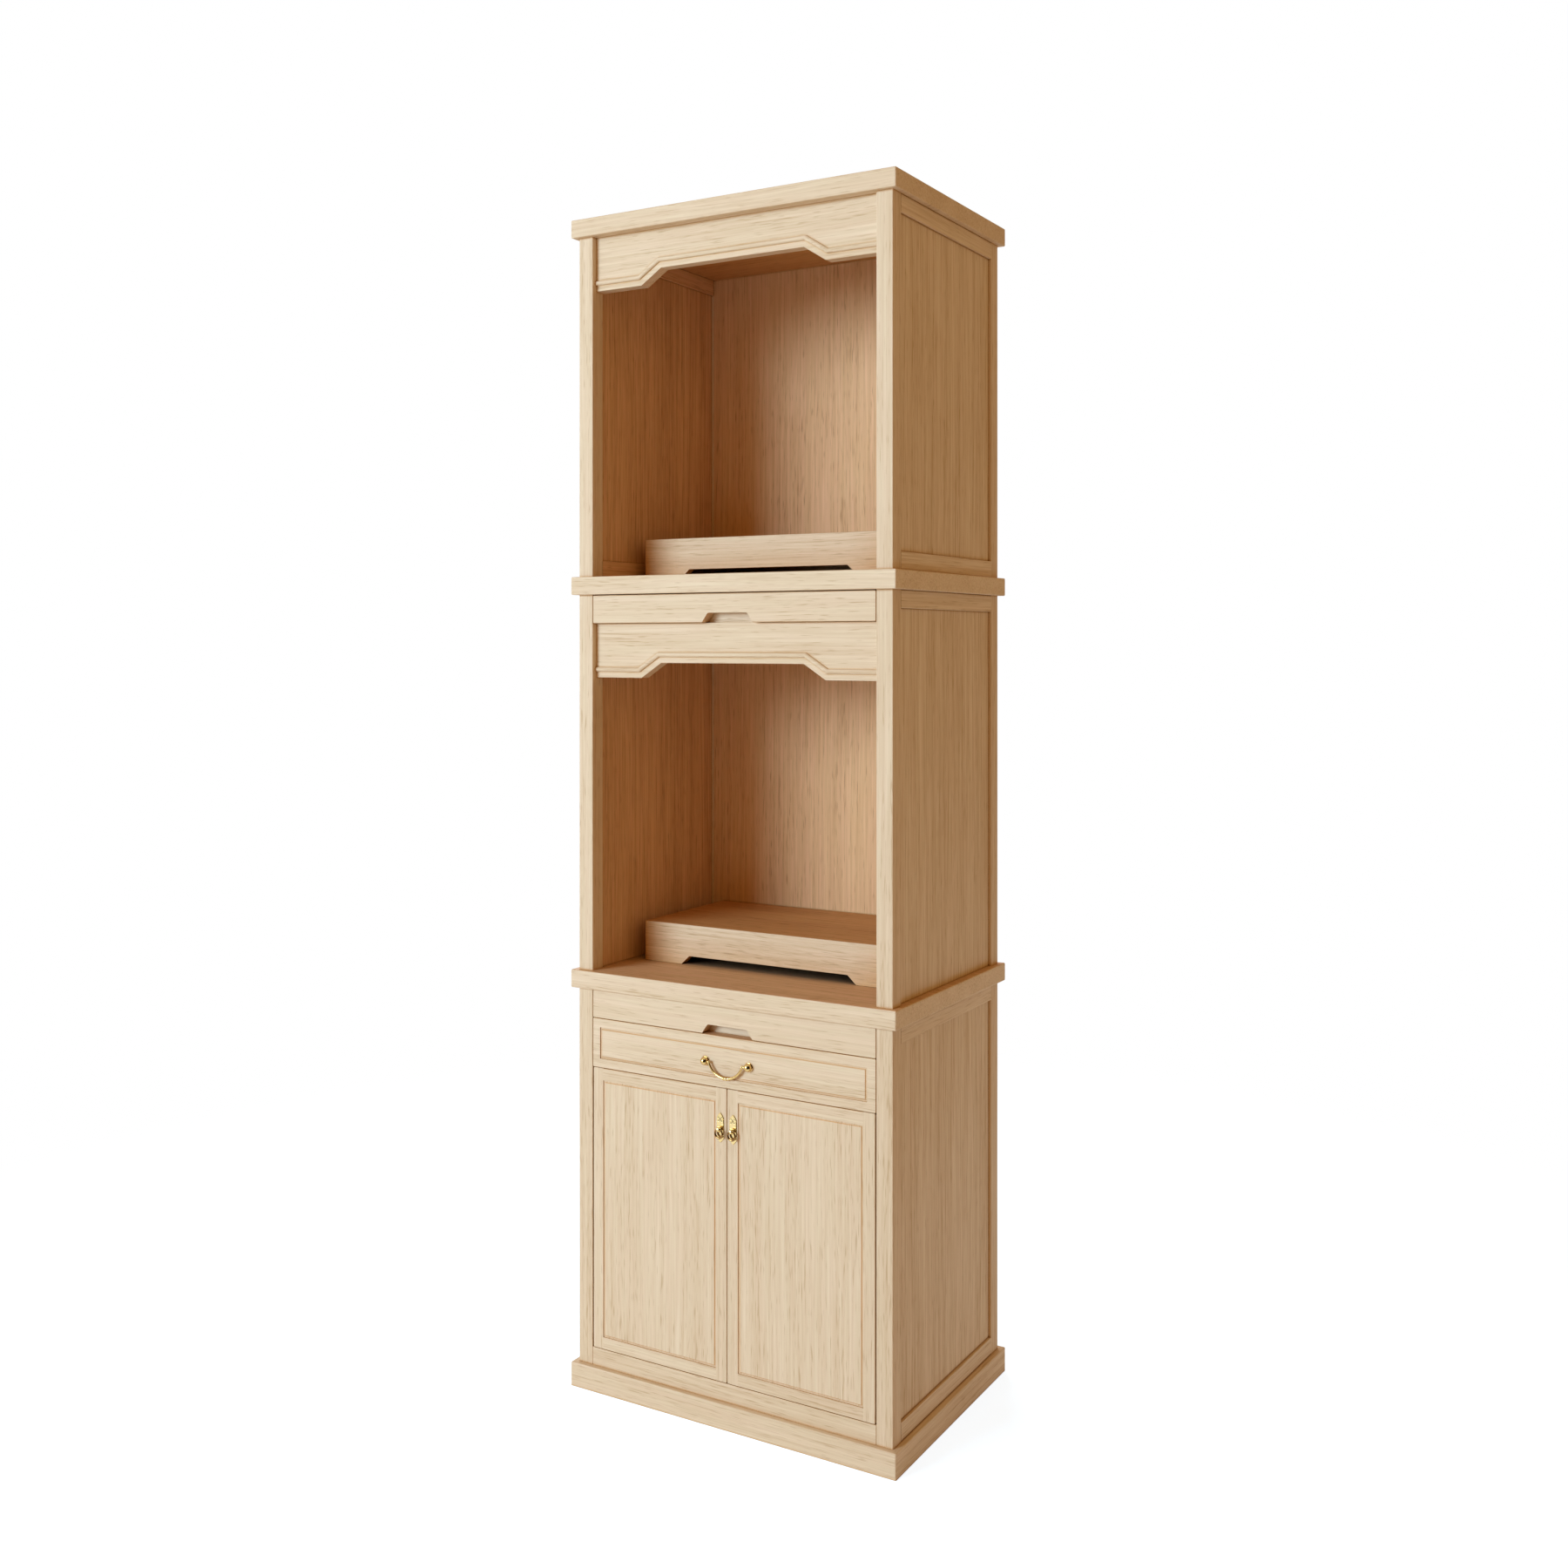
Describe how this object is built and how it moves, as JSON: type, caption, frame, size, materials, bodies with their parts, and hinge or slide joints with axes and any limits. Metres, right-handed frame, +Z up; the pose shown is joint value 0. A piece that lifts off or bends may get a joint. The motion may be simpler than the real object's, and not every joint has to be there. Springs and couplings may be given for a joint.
{
  "type": "altar cabinet",
  "caption": "Tall slim wooden altar cabinet: open niches with low stands, pull-out offering trays, a drawer with a brass bail and a cupboard with framed doors.",
  "frame": {"origin": "middle of the footprint, on the floor", "axes": "+X to the right seen from the front, +Y to the back, +Z up"},
  "size_m": [0.61, 0.42, 1.96],
  "materials": {
    "pale_wood": "matt clear lacquer",
    "inner_wood": "sanded",
    "brass": "polished",
    "steel": "zinc plated",
    "catch_plastic": "moulded"
  },
  "bodies": {
    "cabinet": {"plinth_rails": "pale_wood", "plinth_returns": "pale_wood", "side_rails": "pale_wood", "back_rails": "pale_wood", "lower_posts": "pale_wood", "lower_side_panels": "pale_wood", "lower_back_panel": "pale_wood", "middle_posts": "pale_wood", "middle_side_panels": "pale_wood", "middle_back_panel": "pale_wood", "top_posts": "pale_wood", "top_side_panels": "pale_wood", "top_back_panel": "pale_wood", "altar_slab": "pale_wood", "upper_slab": "pale_wood", "crown_slab": "pale_wood", "lower_front_rail": "pale_wood", "middle_apron": "pale_wood", "top_apron": "pale_wood", "post_dowels": "inner_wood", "cupboard_floor": "inner_wood", "niche_ceiling": "inner_wood", "tray_stretcher": "inner_wood", "drawer_stretcher": "inner_wood", "apron_stretcher": "inner_wood", "tray_runners": "inner_wood", "packing_strips": "inner_wood", "slide_channels": "steel", "pivot_brackets": "steel", "pivot_pins": "steel", "fixing_screws": "steel", "door_catch": "catch_plastic"},
    "lower_tray": {"lower_tray_front": "pale_wood", "lower_tray_board": "pale_wood"},
    "middle_tray": {"middle_tray_front": "pale_wood", "middle_tray_board": "pale_wood"},
    "drawer": {"drawer_front": "pale_wood", "drawer_sides": "inner_wood", "drawer_back": "inner_wood", "drawer_bottom": "inner_wood", "slide_bars": "steel", "bail_posts": "brass", "bail_nuts": "brass"},
    "bail": {"drawer_bail": "brass"},
    "left_door": {"left_door_stiles": "pale_wood", "left_door_rails": "pale_wood", "left_door_panel": "pale_wood", "left_ring_plate": "brass", "left_door_strike": "steel"},
    "right_door": {"right_door_stiles": "pale_wood", "right_door_rails": "pale_wood", "right_door_panel": "pale_wood", "right_ring_plate": "brass", "right_door_strike": "steel"},
    "left_ring": {"left_ring": "brass"},
    "right_ring": {"right_ring": "brass"},
    "middle_stand": {"middle_stand": "pale_wood"},
    "upper_stand": {"upper_stand": "pale_wood"}
  },
  "joints": [
    {"name": "lower_tray_slide", "type": "slide", "parent": "cabinet", "child": "lower_tray", "axis": [0, -1, 0], "range_m": [0, 0.25]},
    {"name": "middle_tray_slide", "type": "slide", "parent": "cabinet", "child": "middle_tray", "axis": [0, -1, 0], "range_m": [0, 0.25]},
    {"name": "drawer_slide", "type": "slide", "parent": "cabinet", "child": "drawer", "axis": [0, -1, 0], "range_m": [0, 0.26]},
    {"name": "bail_swing", "type": "hinge", "parent": "drawer", "child": "bail", "pos_m": [0, -0.205, 0.579], "axis": [-1, 0, 0], "range_deg": [0, 85]},
    {"name": "left_door_hinge", "type": "hinge", "parent": "cabinet", "child": "left_door", "pos_m": [-0.255, -0.193, 0.3], "axis": [0, 0, -1], "range_deg": [0, 100]},
    {"name": "right_door_hinge", "type": "hinge", "parent": "cabinet", "child": "right_door", "pos_m": [0.255, -0.193, 0.3], "axis": [0, 0, 1], "range_deg": [0, 100]},
    {"name": "left_ring_swing", "type": "hinge", "parent": "left_door", "child": "left_ring", "pos_m": [-0.012, -0.2055, 0.47375], "axis": [-1, 0, 0], "range_deg": [0, 90]},
    {"name": "right_ring_swing", "type": "hinge", "parent": "right_door", "child": "right_ring", "pos_m": [0.012, -0.2055, 0.47375], "axis": [-1, 0, 0], "range_deg": [0, 90]},
    {"name": "middle_stand_slide", "type": "slide", "parent": "cabinet", "child": "middle_stand", "axis": [0, -1, 0], "range_m": [0, 0.12]},
    {"name": "upper_stand_slide", "type": "slide", "parent": "cabinet", "child": "upper_stand", "axis": [0, -1, 0], "range_m": [0, 0.12]}
  ]
}
